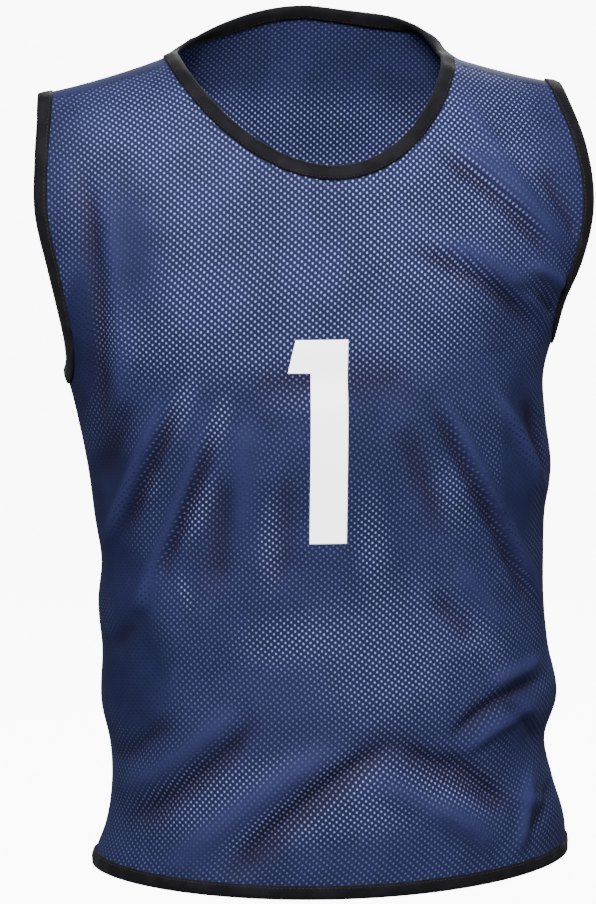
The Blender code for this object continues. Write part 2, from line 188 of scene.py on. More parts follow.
def reach_of(level):
    turn = np.arccos(np.clip(1 + level / CROWN, 0.0, 1.0))
    return CROWN * turn + np.maximum(-CROWN - level, 0.0)


chest = sum(float(read_section(name, CHEST_LEVEL)) for name in SECTION_COLUMNS[1:])
print("chest, all round in cm:", round(math.pi * 100 * chest / 2, 1))

# %% [markdown]
# Two lifts are added to the stack. The shoulders slope down from the neck, the left one a
# little more, and behind the neck the cloth stands up to its binding.

# %% Shoulder slope and the stand behind the neck
NECK_MIDDLE = 0.0045
NECK_HALF = 0.1080
COLLAR_RISE = 0.0480
COLLAR_MIDDLE = 0.0180
COLLAR_SPAN = 0.1790
COLLAR_POWER_LEFT = 1.5
COLLAR_POWER_RIGHT = 3.2
COLLAR_START = 0.0560
COLLAR_EDGE = 0.0980
COLLAR_FALL = 0.0620
COLLAR_ENDS = -0.170


def slope_lift(x, level):
    aside = x - NECK_MIDDLE
    slope = SHOULDER_SLOPE - SLOPE_LEAN * np.tanh(aside / LEAN_SPAN)
    past_neck = np.hypot(aside, CROWN_SOFTNESS) - math.hypot(NECK_HALF, CROWN_SOFTNESS)
    drop = (slope - SLOPE_EASE * past_neck) * past_neck
    return -drop * soft_step(1 - level / SLOPE_ENDS)


def collar_lift(x, y, level):
    share = (x - COLLAR_MIDDLE) / COLLAR_SPAN
    power = np.where(share < 0, COLLAR_POWER_LEFT, COLLAR_POWER_RIGHT)
    width = np.clip(1 - np.abs(share) ** power, 0.0, 1.0)
    width = width * soft_step(1 - (np.abs(x - NECK_MIDDLE) - COLLAR_EDGE) / COLLAR_FALL)
    return COLLAR_RISE * width * soft_step(y / COLLAR_START) * soft_step(1 - level / COLLAR_ENDS)


def surface(side, across, reach):
    """The smooth form of a panel, before its folds."""
    level, fullness = level_of(reach)
    left, right = read_section("left", level), read_section("right", level)
    turn = across * math.pi / 2
    x = (right - left) / 2 + (right + left) / 2 * np.sin(turn)
    inward = read_section(side, level) * np.cos(turn) * fullness
    z = level + slope_lift(x, level)
    if side == "back":
        z = z + collar_lift(x, inward, level)
    return np.stack([x, FACING[side] * (inward + SEAM_GAP / 2), z], axis=-1)


# %% The direction that points out of the cloth
SMALL_STEP = 1e-4


def slopes_at(side, across, reach):
    step = SMALL_STEP
    by_across = surface(side, across + step, reach) - surface(side, across - step, reach)
    by_reach = surface(side, across, reach + step) - surface(side, across, reach - step)
    return by_across / (2 * step), by_reach / (2 * step)


def outward(side, across, reach):
    by_across, by_reach = slopes_at(side, across, reach)
    return unit(np.cross(by_reach, by_across) * -FACING[side])


# %% [markdown]
# ## The cut edges
#
# A maker would draw the neckline, the armholes and the hem on the flat cloth. Here they are
# drawn on the form: each is a line of places, read again at even steps of its real length, so
# that the cells of the cloth and of the tape stay even too.

# %% Lines of even steps
DENSE = 400
NECK_COLUMNS = 100
SETTLE_ROUNDS = 30
FRONT_NECK_DEPTH = 0.0870
FRONT_NECK_ROUND = 1.60
BACK_NECK_REACH = 0.0580
BACK_NECK_ROUND = 0.81
NECK_LEAN = {"front": 0.0100, "back": 0.0070}
TIP_ACROSS = 0.660
ARM_ACROSS = {"front": 0.660, "back": 0.590}
ARM_ROUND = 2.6
UNDERARM_LEVEL = {"left": -0.2570, "right": -0.2270}
TIP_RETURN = 0.55


def running_length(points):
    steps = np.linalg.norm(np.diff(points, axis=0), axis=1)
    return np.concatenate([[0.0], np.cumsum(steps)])


def read_along(run, values, marks):
    """The columns of some values, read again at marks along a line."""
    return np.stack([np.interp(marks, run, column) for column in values.T], axis=-1)


def even(side, across, reach, count):
    run = running_length(surface(side, across, reach))
    marks = np.linspace(0.0, run[-1], count + 1)
    return read_along(run, np.stack([across, reach], axis=-1), marks)


def across_of(x, level):
    left, right = read_section("left", level), read_section("right", level)
    share = (x - (right - left) / 2) / ((right + left) / 2)
    return np.arcsin(np.clip(share, -1, 1)) * 2 / math.pi


# %% Hem, side seams, armholes, neckline and shoulders


def hem_line(side, count):
    across = np.linspace(-1.0, 1.0, DENSE)
    dip = HEM_DIP * np.cos(across * math.pi / 2) ** 2
    rise = HEM_RISE["left"] + (HEM_RISE["right"] - HEM_RISE["left"]) * (across + 1) / 2
    return even(side, across, reach_of(HEM_LEVEL - dip + rise), count)


def side_line(side, hand, count):
    low, high = reach_of(HEM_LEVEL + HEM_RISE[hand]), reach_of(UNDERARM_LEVEL[hand])
    return even(side, np.full(DENSE, SIGN[hand]), np.linspace(low, high, DENSE), count)


def armhole_line(side, hand, count):
    """From the underarm to the shoulder tip, rounded at the bottom."""
    turn = np.linspace(0.0, math.pi / 2, DENSE)
    left_over, cut_in = np.cos(turn) ** (2 / ARM_ROUND), np.sin(turn) ** (2 / ARM_ROUND)
    across = 1 - (1 - ARM_ACROSS[side]) * cut_in
    back_to_tip = soft_step((1 - left_over - TIP_RETURN) / (1 - TIP_RETURN))
    across = across + (TIP_ACROSS - ARM_ACROSS[side]) * back_to_tip
    return even(side, SIGN[hand] * across, reach_of(UNDERARM_LEVEL[hand] * left_over), count)


def neck_line(side, count):
    turn = np.linspace(0.0, math.pi, DENSE)
    x = NECK_MIDDLE - NECK_HALF * np.cos(turn) + NECK_LEAN[side] * np.sin(turn) ** 2
    z = -FRONT_NECK_DEPTH * np.sin(turn) ** FRONT_NECK_ROUND
    y = BACK_NECK_REACH * np.sin(turn) ** BACK_NECK_ROUND
    level = np.zeros(DENSE)
    for _ in range(SETTLE_ROUNDS):
        if side == "front":
            level = np.minimum(z - slope_lift(x, level), 0.0)
        else:
            full = read_section(side, level) * np.cos(across_of(x, level) * math.pi / 2)
            level = level_of(CROWN * np.arcsin(y / full))[0]
    return even(side, across_of(x, level), reach_of(level), count)


def neck_end(hand):
    """Where the shoulder line meets the neck, as its place across."""
    return neck_line("front", NECK_COLUMNS)[0 if hand == "left" else -1][0]


def shoulder_line(side, start, end, count):
    return even(side, np.linspace(start, end, DENSE), np.zeros(DENSE), count)


for side in SIDES:
    run = running_length(surface(side, *neck_line(side, NECK_COLUMNS).T))
    print(side, "neckline in cm:", round(run[-1] * 100, 1))

# %% [markdown]
# ## Folds
#
# Knit cloth this light makes long soft folds where it is pulled from the underarms to the
# waist, and short puckers where it is pushed up. Each row is one fold, seen from the front:
# where it starts and ends, how far it bends aside, its half width and its height. A ridge is
# positive and a trough is negative. Placing them one by one keeps them as uneven as real ones.

# %% The folds of the front
FOLD_COLUMNS = ("x_from", "z_from", "x_to", "z_to", "bend", "half", "height")
FOLDS = {}
FOLDS["front"] = (
    # long crease down the left of the chest
    (-0.186, -0.06, -0.17, -0.345, 0.008, 0.0089, -0.005),
    (-0.172, -0.09, -0.158, -0.33, 0.008, 0.0089, 0.003),
    # left waist, pulled up towards the chest
    (-0.12, -0.263, -0.168, -0.409, 0.0, 0.005, 0.0057),
    (-0.107, -0.266, -0.158, -0.401, 0.0, 0.0056, -0.0057),
    (-0.146, -0.267, -0.17, -0.351, 0.0, 0.008, -0.0042),
    (-0.087, -0.278, -0.155, -0.479, 0.004, 0.005, 0.0059),
    (-0.079, -0.282, -0.133, -0.433, 0.004, 0.0058, -0.0062),
    (-0.135, -0.437, -0.163, -0.492, 0.0, 0.006, -0.0035),
    (-0.071, -0.319, -0.082, -0.438, 0.0, 0.01, -0.0035),
    (-0.056, -0.271, -0.063, -0.399, 0.0, 0.01, 0.0038),
    (-0.025, -0.326, -0.032, -0.431, 0.0, 0.0095, -0.0024),
    # low valleys that climb to the right, with ridges above them
    (-0.081, -0.672, 0.079, -0.538, 0.01, 0.01, -0.0068),
    (-0.129, -0.672, 0.031, -0.542, 0.008, 0.012, 0.0057),
    (-0.161, -0.637, -0.04, -0.521, -0.006, 0.0085, -0.0062),
    (-0.167, -0.612, -0.057, -0.513, -0.004, 0.009, 0.0043),
    (-0.162, -0.586, -0.112, -0.53, 0.0, 0.007, -0.0032),
    (0.051, -0.546, 0.173, -0.623, 0.004, 0.0085, -0.0059),
    (0.028, -0.573, 0.156, -0.644, 0.004, 0.011, 0.0038),
    # right armhole
    (0.088, -0.07, 0.199, -0.17, 0.008, 0.0062, -0.0055),
    (0.102, -0.062, 0.212, -0.168, 0.009, 0.0075, 0.0054),
    (0.116, -0.018, 0.188, -0.13, -0.004, 0.0065, 0.003),
    (0.181, -0.088, 0.224, -0.162, 0.003, 0.005, -0.0037),
    (0.06, -0.148, 0.19, -0.234, 0.014, 0.0064, -0.005),
    (0.08, -0.142, 0.204, -0.222, 0.014, 0.0075, 0.0046),
    (0.168, -0.164, 0.218, -0.198, 0.004, 0.006, 0.0051),
    (0.158, -0.178, 0.208, -0.22, 0.004, 0.005, -0.0046),
    # right waist
    (0.139, -0.259, 0.203, -0.367, 0.002, 0.005, 0.0059),
    (0.173, -0.272, 0.2, -0.358, 0.002, 0.0065, -0.005),
    (0.094, -0.257, 0.201, -0.467, 0.002, 0.005, 0.0059),
    (0.084, -0.264, 0.194, -0.469, 0.002, 0.0058, -0.0065),
    (0.065, -0.287, 0.105, -0.387, 0.0, 0.009, -0.0032),
    (0.111, -0.404, 0.165, -0.476, 0.0, 0.009, 0.0035),
    (0.092, -0.427, 0.136, -0.48, 0.0, 0.008, -0.0032),
    (0.185, -0.58, 0.169, -0.659, 0.0, 0.0055, 0.0049),
    # right hip: a sharp valley from the side and small puckers under it
    (0.206, -0.511, 0.104, -0.554, -0.01, 0.0062, -0.0053),
    (0.198, -0.496, 0.14, -0.509, 0.0, 0.0067, 0.0044),
    (0.198, -0.532, 0.116, -0.566, -0.006, 0.0067, 0.004),
    (0.098, -0.558, 0.158, -0.618, 0.006, 0.0067, -0.004),
    (0.154, -0.521, 0.194, -0.574, 0.004, 0.0052, -0.004),
    (0.204, -0.6, 0.178, -0.64, 0.004, 0.0059, -0.0034),
    (0.206, -0.618, 0.16, -0.6, 0.004, 0.0052, 0.0028),
    (0.09, -0.6, 0.15, -0.655, 0.006, 0.0089, 0.003),
    # under the chest
    (-0.07, -0.262, 0.1, -0.262, 0.01, 0.0178, -0.0034),
)

# %% The folds of the back
FOLDS["back"] = (
    (-0.16, -0.11, -0.07, -0.23, -0.01, 0.0089, -0.0048),
    (-0.176, -0.16, -0.09, -0.262, -0.008, 0.0081, 0.0048),
    (-0.168, -0.21, -0.104, -0.29, -0.006, 0.0067, -0.003),
    (0.172, -0.1, 0.086, -0.215, 0.01, 0.0089, -0.0048),
    (0.19, -0.15, 0.104, -0.25, 0.008, 0.0081, 0.0052),
    (0.176, -0.2, 0.116, -0.28, 0.006, 0.0067, -0.0032),
    (-0.164, -0.43, -0.074, -0.33, 0.008, 0.0081, -0.0056),
    (-0.16, -0.462, -0.06, -0.366, 0.008, 0.0081, 0.0052),
    (-0.156, -0.495, -0.05, -0.418, 0.006, 0.0074, -0.0048),
    (-0.15, -0.528, -0.06, -0.466, 0.006, 0.0074, 0.003),
    (0.196, -0.42, 0.104, -0.3, -0.008, 0.0081, -0.0056),
    (0.192, -0.455, 0.088, -0.345, -0.008, 0.0081, 0.0056),
    (0.194, -0.486, 0.07, -0.405, -0.006, 0.0074, -0.0048),
    (0.19, -0.52, 0.09, -0.455, -0.006, 0.0067, 0.003),
    (-0.13, -0.64, -0.104, -0.53, 0.004, 0.0096, -0.0042),
    (-0.03, -0.655, -0.012, -0.52, -0.004, 0.0111, 0.0042),
    (0.02, -0.65, 0.03, -0.56, -0.003, 0.0081, -0.0026),
    (0.07, -0.65, 0.06, -0.54, 0.004, 0.0096, -0.0042),
    (0.12, -0.648, 0.104, -0.56, 0.004, 0.0089, 0.0028),
    (0.168, -0.645, 0.146, -0.545, -0.004, 0.0089, 0.0036),
    (-0.06, -0.1, 0.07, -0.1, -0.012, 0.0148, -0.0022),
)

# %% Add up the folds at some points
FOLD_END_SHARE = 0.3
FADE_START = 0.010
FADE_LENGTH = 0.008


def fold_height(side, x, z):
    total = np.zeros_like(x)
    for row in FOLDS[side]:
        fold = dict(zip(FOLD_COLUMNS, row))
        run_x, run_z = fold["x_to"] - fold["x_from"], fold["z_to"] - fold["z_from"]
        length = math.hypot(run_x, run_z)
        from_x, from_z = x - fold["x_from"], z - fold["z_from"]
        share = (from_x * run_x + from_z * run_z) / length ** 2
        aside = (from_z * run_x - from_x * run_z) / length
        aside = aside - fold["bend"] * 4 * share * (1 - share)
        ends = soft_step(share / FOLD_END_SHARE) * soft_step((1 - share) / FOLD_END_SHARE)
        total = total + fold["height"] * ends * np.exp(-(aside / fold["half"]) ** 2)
    return total


print("folds:", {side: len(FOLDS[side]) for side in SIDES})

# %% [markdown]
# ## The two panels
#
# A panel is one grid of cells. Its four sides are the hem, the two side seams with the
# armholes above them, and the shoulders with the neckline between them. The inside of the
# grid is a blend of the four sides, as of a cloth that is stretched between them. bmesh makes
# the flat grid, and each vertex is then moved to its own place on the form.

# %% Blend four edges into a grid of places
SHOULDER_COLUMNS = 38
SIDE_ROWS = 128
ARM_ROWS = 90
RELAX_ROUNDS = 60


def outline(side):
    neck = neck_line(side, NECK_COLUMNS)
    left_shoulder = shoulder_line(side, -TIP_ACROSS, neck[0][0], SHOULDER_COLUMNS)
    right_shoulder = shoulder_line(side, neck[-1][0], TIP_ACROSS, SHOULDER_COLUMNS)
    top = np.concatenate([left_shoulder, neck[1:-1], right_shoulder])
    edges = {}
    for hand in HANDS:
        seam = side_line(side, hand, SIDE_ROWS)
        edges[hand] = np.concatenate([seam, armhole_line(side, hand, ARM_ROWS)[1:]])
    return hem_line(side, 2 * SHOULDER_COLUMNS + NECK_COLUMNS), top, edges["left"], edges["right"]


def shares(side, *lines):
    runs = [running_length(surface(side, *line.T)) for line in lines]
    return sum(run / run[-1] for run in runs) / len(runs)


def fill_between(side, hem, top, left, right):
    u = shares(side, hem, top)[None, :, None]
    v = shares(side, left, right)[:, None, None]
    grid = (1 - v) * hem[None] + v * top[None] + (1 - u) * left[:, None] + u * right[:, None]
    corners = (1 - u) * (1 - v) * hem[0] + u * (1 - v) * hem[-1]
    corners = corners + (1 - u) * v * top[0] + u * v * top[-1]
    grid = grid - corners
    for _ in range(RELAX_ROUNDS):
        grid[1:-1, 1:-1] = (grid[:-2, 1:-1] + grid[2:, 1:-1] + grid[1:-1, :-2] + grid[1:-1, 2:]) / 4
    return grid


# %% Folds end at the tapes and seams


def edge_distance(side, points, *lines):
    border = np.concatenate([surface(side, *line.T) for line in lines])
    flat = points.reshape(-1, 3)
    nearest = np.array([np.min(np.linalg.norm(border - point, axis=1)) for point in flat])
    return nearest.reshape(points.shape[:-1])


def folded(side, across, reach, fade):
    points = surface(side, across, reach)
    heights = fold_height(side, points[..., 0], points[..., 2]) * fade
    return points + outward(side, across, reach) * heights[..., None], heights


# %% [markdown]
# The mesh of holes must keep its real size all over the cloth, so each vertex also gets its
# place on the flat cloth in metres: how far it is from the middle, and how far up it is from
# a level line under the arms. That is the UV map that the finish reads.

# %% Where each place lies on the flat cloth
ARC_STEPS = 24
GRAIN_LEVEL = -0.300


def length_of_path(side, across_at, reach_at):
    """Length over the cloth of a path, whose place is a function of a share from 0 to 1."""
    length, last = 0.0, surface(side, across_at(0.0), reach_at(0.0))
    for k in range(1, ARC_STEPS + 1):
        here = surface(side, across_at(k / ARC_STEPS), reach_at(k / ARC_STEPS))
        length = length + np.linalg.norm(here - last, axis=-1)
        last = here
    return length


def flat_place(side, across, reach):
    sideways = length_of_path(side, lambda s: across * s, lambda s: reach)
    start = reach_of(GRAIN_LEVEL)
    up = length_of_path(side, lambda s: across, lambda s: start + (reach - start) * s)
    return np.stack([sideways * np.sign(across), up * np.sign(start - reach)], axis=-1)


# %% A grid mesh with its places, its UV map and its values


def grid_mesh(points):
    rows, columns = points.shape[0] - 1, points.shape[1] - 1
    mesh = bmesh.new()
    bmesh.ops.create_grid(mesh, x_segments=columns, y_segments=rows, size=1.0)
    index = mesh.verts.layers.int.new("cell")
    for vertex in mesh.verts:
        i = round((vertex.co.x + 1) / 2 * columns)
        j = round((vertex.co.y + 1) / 2 * rows)
        vertex.co = points[j, i]
        vertex[index] = j * (columns + 1) + i
    return mesh


def lay_uv(mesh, name, flat):
    uv = mesh.loops.layers.uv.new(name)
    index = mesh.verts.layers.int["cell"]
    flat = flat.reshape(-1, 2)
    for face in mesh.faces:
        for loop in face.loops:
            loop[uv].uv = flat[loop.vert[index]]


def lay_values(mesh, name, values):
    layer = mesh.verts.layers.float.new(name)
    index = mesh.verts.layers.int["cell"]
    values = values.reshape(-1)
    for vertex in mesh.verts:
        vertex[layer] = values[vertex[index]]


def turn_outward(mesh, facing):
    mesh.normal_update()
    if sum(face.normal.y * face.calc_area() for face in mesh.faces) * facing < 0:
        bmesh.ops.reverse_faces(mesh, faces=mesh.faces)


def add_object(name, mesh, material):
    data = bpy.data.meshes.new(name)
    mesh.to_mesh(data)
    mesh.free()
    data.shade_smooth()
    data.materials.append(material)
    return new_object(name, data)


def finish_piece(name, mesh, material):
    piece = add_object(name, mesh, material)
    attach(piece, "root")
    return piece


def add_wall(piece, thick, offset):
    wall = piece.modifiers.new("wall", "SOLIDIFY")
    wall.thickness, wall.offset = thick, offset


# %% [markdown]
# ## Finishes
#
# Shader maths reads badly as boxes and wires. The small class below wraps a socket, so that
# an ordinary expression such as 1 - mask adds the Math node for it.

# %% A socket that can be calculated with


class Value:
    def __init__(self, finish, socket):
        self.finish, self.socket = finish, socket

    def math(self, operation, *others):
        return self.finish.node("ShaderNodeMath", {"operation": operation}, self, *others)

    def __add__(self, other):
        return self.math("ADD", other)

    def __sub__(self, other):
        return self.math("SUBTRACT", other)

    def __rsub__(self, other):
        return self.finish.node("ShaderNodeMath", {"operation": "SUBTRACT"}, other, self)

    def __mul__(self, other):
        return self.math("MULTIPLY", other)

    __radd__, __rmul__ = __add__, __mul__

    def __truediv__(self, other):
        return self.math("DIVIDE", other)

    def smooth(self, low, high):
        """0 below low, 1 above high and a soft step between them."""
        node = {"interpolation_type": "SMOOTHSTEP"}
        return self.finish.node("ShaderNodeMapRange", node, self, low, high, 0.0, 1.0)


# %% One finish, with one way to add any node


class Finish:
    def __init__(self, name):
        self.material = bpy.data.materials.new(name)
        self.material.use_nodes = True
        self.tree = self.material.node_tree
        self.shader = self.tree.nodes["Principled BSDF"]

    def node(self, kind, settings, *inputs, out=0):
        made = self.tree.nodes.new(kind)
        for name, value in settings.items():
            setattr(made, name, value)
        sockets = [socket for socket in made.inputs if socket.enabled]
        for socket, value in zip(sockets, inputs):
            self.feed(socket, value)
        return Value(self, [socket for socket in made.outputs if socket.enabled][out])

    def feed(self, socket, value):
        if isinstance(value, Value):
            self.tree.links.new(value.socket, socket)
        elif value is not None:
            socket.default_value = value

    def set(self, name, value):
        self.feed(self.shader.inputs[name], value)

    def mix(self, share, first, second):
        return self.node("ShaderNodeMix", {"data_type": "RGBA"}, share, first, second)

    def parts(self, vector):
        split = self.tree.nodes.new("ShaderNodeSeparateXYZ")
        self.feed(split.inputs[0], vector)
        return [Value(self, socket) for socket in split.outputs]

    def noise(self, vector, scale, detail=2.0):
        settings = {"noise_dimensions": "3D"}
        return self.node("ShaderNodeTexNoise", settings, vector, scale, detail)

    def glow(self, strength):
        self.set("Emission Color", WHITE)
        self.set("Emission Strength", strength)

    def bump(self, height, strength, distance):
        made = self.tree.nodes.new("ShaderNodeBump")
        made.inputs["Strength"].default_value = strength
        made.inputs["Distance"].default_value = distance
        self.feed(made.inputs["Height"], height)
        self.set("Normal", Value(self, made.outputs[0]))

    def uv(self, name):
        return self.node("ShaderNodeUVMap", {"uv_map": name})

    def attribute(self, name):
        return self.node("ShaderNodeAttribute", {"attribute_name": name}, out=2)

    def place(self):
        return self.node("ShaderNodeTexCoord", {}, out=3)


WHITE = (1.0, 1.0, 1.0, 1.0)


def tone(red, green, blue):
    """A colour as a screen shows it, from 0 to 255, made linear for the shader."""
    shares = [channel / 255 for channel in (red, green, blue)]
    linear = [c / 12.92 if c <= 0.04045 else ((c + 0.055) / 1.055) ** 2.4 for c in shares]
    return (*linear, 1.0)


# %% [markdown]
# ### The mesh knit
#
# The knit is navy polyester with small oval holes in staggered rows, about 5.7 mm apart. Where
# the cloth lies close over something pale, each hole shows as a pale dot. Nothing lies under the
# cloth here, so that lit pale layer is painted light in the dots' colour. On the top of a fold the
# holes hardly show; the top gets a painted highlight and the foot painted shade. So the finish
# draws the holes in the flat cloth's own metres, and values that each vertex carries say how much
# painted light, painted shade and painted highlight it shows there.

# %% The finish of the knit
HOLE_ACROSS = 0.0057
HOLE_DOWN = 0.0053
HOLE_HALF_WIDTH = 0.00074
HOLE_HALF_HEIGHT = 0.00086
HOLE_SOFT = 0.55
KNIT_LEAN = 0.13
CLOUD_SCALE, CLOUD_LOW, CLOUD_HIGH = 22.0, 0.35, 0.65
PALE_LEAST, PALE_CLOUDS = 0.70, 0.60
YARN_SCALE, YARN_BUMP = 1500.0, 0.25
KNIT_ROUGH, HOLE_ROUGH = 0.72, 0.15
NAVY = tone(26, 30, 61)
NAVY_DEEP = tone(21, 25, 52)
NAVY_PAINTED_SHADE = tone(20, 14, 30)
NAVY_PAINTED_HIGHLIGHT = tone(36, 39, 75)
HOLE_PAINTED_LIGHT = tone(134, 143, 200)
HOLE_DARK = tone(22, 24, 47)
SHEEN_BLUE = tone(120, 140, 210)


def hole_rows(finish, across, up, shift):
    """How far inside its nearest hole a point lies, for one of the two staggered nets."""
    u = (across / HOLE_ACROSS + shift).math("FRACT") - 0.5
    v = (up / HOLE_DOWN + shift).math("FRACT") - 0.5
    u = u * (HOLE_ACROSS / HOLE_HALF_WIDTH)
    v = v * (HOLE_DOWN / HOLE_HALF_HEIGHT)
    from_centre = (u * u + v * v).math("SQRT")
    return 1 - from_centre.smooth(1 - HOLE_SOFT, 1 + HOLE_SOFT)


def knit_finish():
    finish = Finish("navy_mesh_knit")
    flat = finish.uv("flat_cloth")
    across, up, _ = finish.parts(flat)
    up = up - across * KNIT_LEAN
    nets = [hole_rows(finish, across, up, shift) for shift in (0.0, 0.5)]
    holes = nets[0].math("MAXIMUM", nets[1]) * (1 - finish.attribute("seam_band"))
    cloudy = finish.noise(finish.place(), CLOUD_SCALE, detail=3.0)
    cloth = finish.mix(cloudy.smooth(CLOUD_LOW, CLOUD_HIGH), NAVY_DEEP, NAVY)
    # painted shade at the foot of each fold, where the cloth lies in a trough
    cloth = finish.mix(finish.attribute("painted_fold_shade"), cloth, NAVY_PAINTED_SHADE)
    # painted highlight on the top of each fold
    cloth = finish.mix(finish.attribute("painted_crest_highlight"), cloth, NAVY_PAINTED_HIGHLIGHT)
    # painted light: the dots show a lit pale layer that lies under the holes
    pale = finish.attribute("painted_hole_light") * (PALE_LEAST + PALE_CLOUDS * cloudy)
    hole_colour = finish.mix(pale.math("MINIMUM", 1.0), HOLE_DARK, HOLE_PAINTED_LIGHT)
    finish.set("Base Color", finish.mix(holes, cloth, hole_colour))
    yarn = finish.noise(flat, YARN_SCALE, detail=1.0)
    finish.bump(yarn * YARN_BUMP - holes, strength=0.55, distance=0.0004)
    finish.set("Roughness", KNIT_ROUGH + HOLE_ROUGH * holes)
    finish.set("Specular IOR Level", 0.08)
    finish.set("Sheen Weight", 0.02)
    finish.set("Sheen Roughness", 0.45)
    finish.set("Sheen Tint", SHEEN_BLUE)
    return finish.material


KNIT = knit_finish()
print("finish:", KNIT.name)

# %% [markdown]
# ### Where the holes show painted light
#
# The dots' painted light is faint everywhere, and soft patches say where it is stronger or
# fainter: strong where the cloth lies close over the chest and belly, fainter at the sides, as
# painted shade where the pale layer would lie farther off. Each row is a patch seen from the
# front: its middle, half width and height, tilt in degrees, squareness, the share of it that is
# soft edge, and its strength, which is negative where the dots are fainter.

# %% Pale patches
PATCH_COLUMNS = ("x", "z", "half_x", "half_z", "tilt", "square", "edge", "strength")
PATCHES = {}
PATCHES["front"] = (
    # chest and just under it
    (-0.026, -0.137, 0.189, 0.135, 0.0, 4.0, 0.3, 0.6),
    (0.108, -0.085, 0.095, 0.11, 0.0, 3.0, 0.4, 0.45),
    (0.128, -0.15, 0.03, 0.05, 40.0, 2.0, 0.9, -0.35),
    (-0.146, -0.15, 0.04, 0.09, 6.0, 2.0, 0.8, -0.7),
    (-0.108, -0.277, 0.013, 0.04, -18.0, 2.0, 0.8, 0.6),
    (-0.079, -0.29, 0.011, 0.038, -16.0, 2.0, 0.8, 0.7),
    (-0.014, -0.27, 0.048, 0.017, 0.0, 2.0, 0.9, 0.35),
    # streaks at the waist
    (-0.093, -0.359, 0.012, 0.04, -20.0, 2.0, 0.8, 0.7),
    (-0.129, -0.342, 0.008, 0.021, -20.0, 2.0, 0.8, 0.35),
    (-0.037, -0.386, 0.014, 0.059, -2.0, 2.0, 0.9, 0.6),
    (-0.104, -0.428, 0.006, 0.021, 16.0, 2.0, 0.8, 0.5),
    (0.044, -0.388, 0.021, 0.067, 6.0, 2.0, 0.9, 0.55),
    (0.111, -0.352, 0.021, 0.048, 20.0, 2.0, 0.9, 0.45),
    # belly
    (-0.022, -0.464, 0.056, 0.033, 10.0, 2.0, 0.9, 0.55),
    (0.06, -0.477, 0.085, 0.083, 20.0, 2.5, 0.8, 0.55),
    (0.14, -0.467, 0.036, 0.048, 20.0, 2.0, 0.9, 0.35),
    # above the hem
    (-0.014, -0.595, 0.151, 0.048, 6.0, 3.0, 0.6, 0.5),
    (0.112, -0.594, 0.059, 0.032, -15.0, 2.0, 0.9, 0.4),
    # fainter at the sides, as painted shade
    (-0.184, -0.213, 0.022, 0.119, -4.0, 2.0, 0.9, -0.6),
    (-0.165, -0.364, 0.032, 0.079, -8.0, 2.0, 0.9, -0.45),
    (-0.142, -0.502, 0.04, 0.071, 0.0, 2.0, 0.9, -0.35),
    (-0.146, -0.43, 0.032, 0.05, 0.0, 2.0, 0.9, -0.3),
    (0.169, -0.329, 0.024, 0.111, 0.0, 2.0, 0.9, -0.45),
    (0.173, -0.534, 0.025, 0.087, 0.0, 2.0, 0.9, -0.15),
    (-0.062, -0.341, 0.014, 0.063, -12.0, 2.0, 0.9, -0.15),
)
PATCHES["back"] = (
    (0.0, -0.14, 0.2, 0.12, 0.0, 4.0, 0.3, 0.65),
    (0.0, -0.3, 0.08, 0.11, 0.0, 2.0, 0.9, 0.4),
    (0.01, -0.5, 0.12, 0.12, 0.0, 2.5, 0.7, 0.5),
    (-0.07, -0.61, 0.08, 0.06, 10.0, 2.0, 0.9, 0.35),
    (0.1, -0.6, 0.08, 0.06, -10.0, 2.0, 0.9, 0.35),
    (-0.168, -0.38, 0.034, 0.14, 0.0, 2.0, 0.9, -0.45),
    (0.178, -0.38, 0.034, 0.14, 0.0, 2.0, 0.9, -0.45),
)
FAINT = 0.20
CREST = 0.0042
CREST_DIMS = 0.80
TROUGH, TROUGH_PAINTED_SHADE = 0.0040, 0.45


def painted_hole_light(side, points, heights):
    """Painted light in the dots at each point, dimmed on the crests, with painted shade in the
    folds.
    """
    x, z = points[..., 0], points[..., 2]
    total = np.full_like(x, FAINT)
    for row in PATCHES[side]:
        patch = dict(zip(PATCH_COLUMNS, row))
        tilt = math.radians(patch["tilt"])
        dx, dz = x - patch["x"], z - patch["z"]
        u = np.abs(dx * math.cos(tilt) + dz * math.sin(tilt)) / patch["half_x"]
        v = np.abs(dz * math.cos(tilt) - dx * math.sin(tilt)) / patch["half_z"]
        away = (u ** patch["square"] + v ** patch["square"]) ** (1 / patch["square"])
        total = total + patch["strength"] * soft_step((1 - away) / patch["edge"])
    on_crest = CREST_DIMS * np.clip(heights / CREST, 0.0, 1.0)
    # painted shade: the dots' painted light dims in the fold troughs
    in_trough = TROUGH_PAINTED_SHADE * np.clip(-heights / TROUGH, 0.0, 1.0)
    return np.clip(total, 0.0, 1.0) * (1 - on_crest - in_trough)


# %% Painted shade at the foot of a fold and a painted highlight on its top
FOLD_FOOT = 0.0046
FOOT_PAINTED_SHADE = 0.75
CREST_PAINTED_HIGHLIGHT = 0.75

# %% Make the two panels
CLOTH_THICK = 0.0008
SIDE_BAND = 0.0060
SHOULDER_BAND = {"front": 0.0440, "back": 0.0160}
BAND_EDGE = 0.003


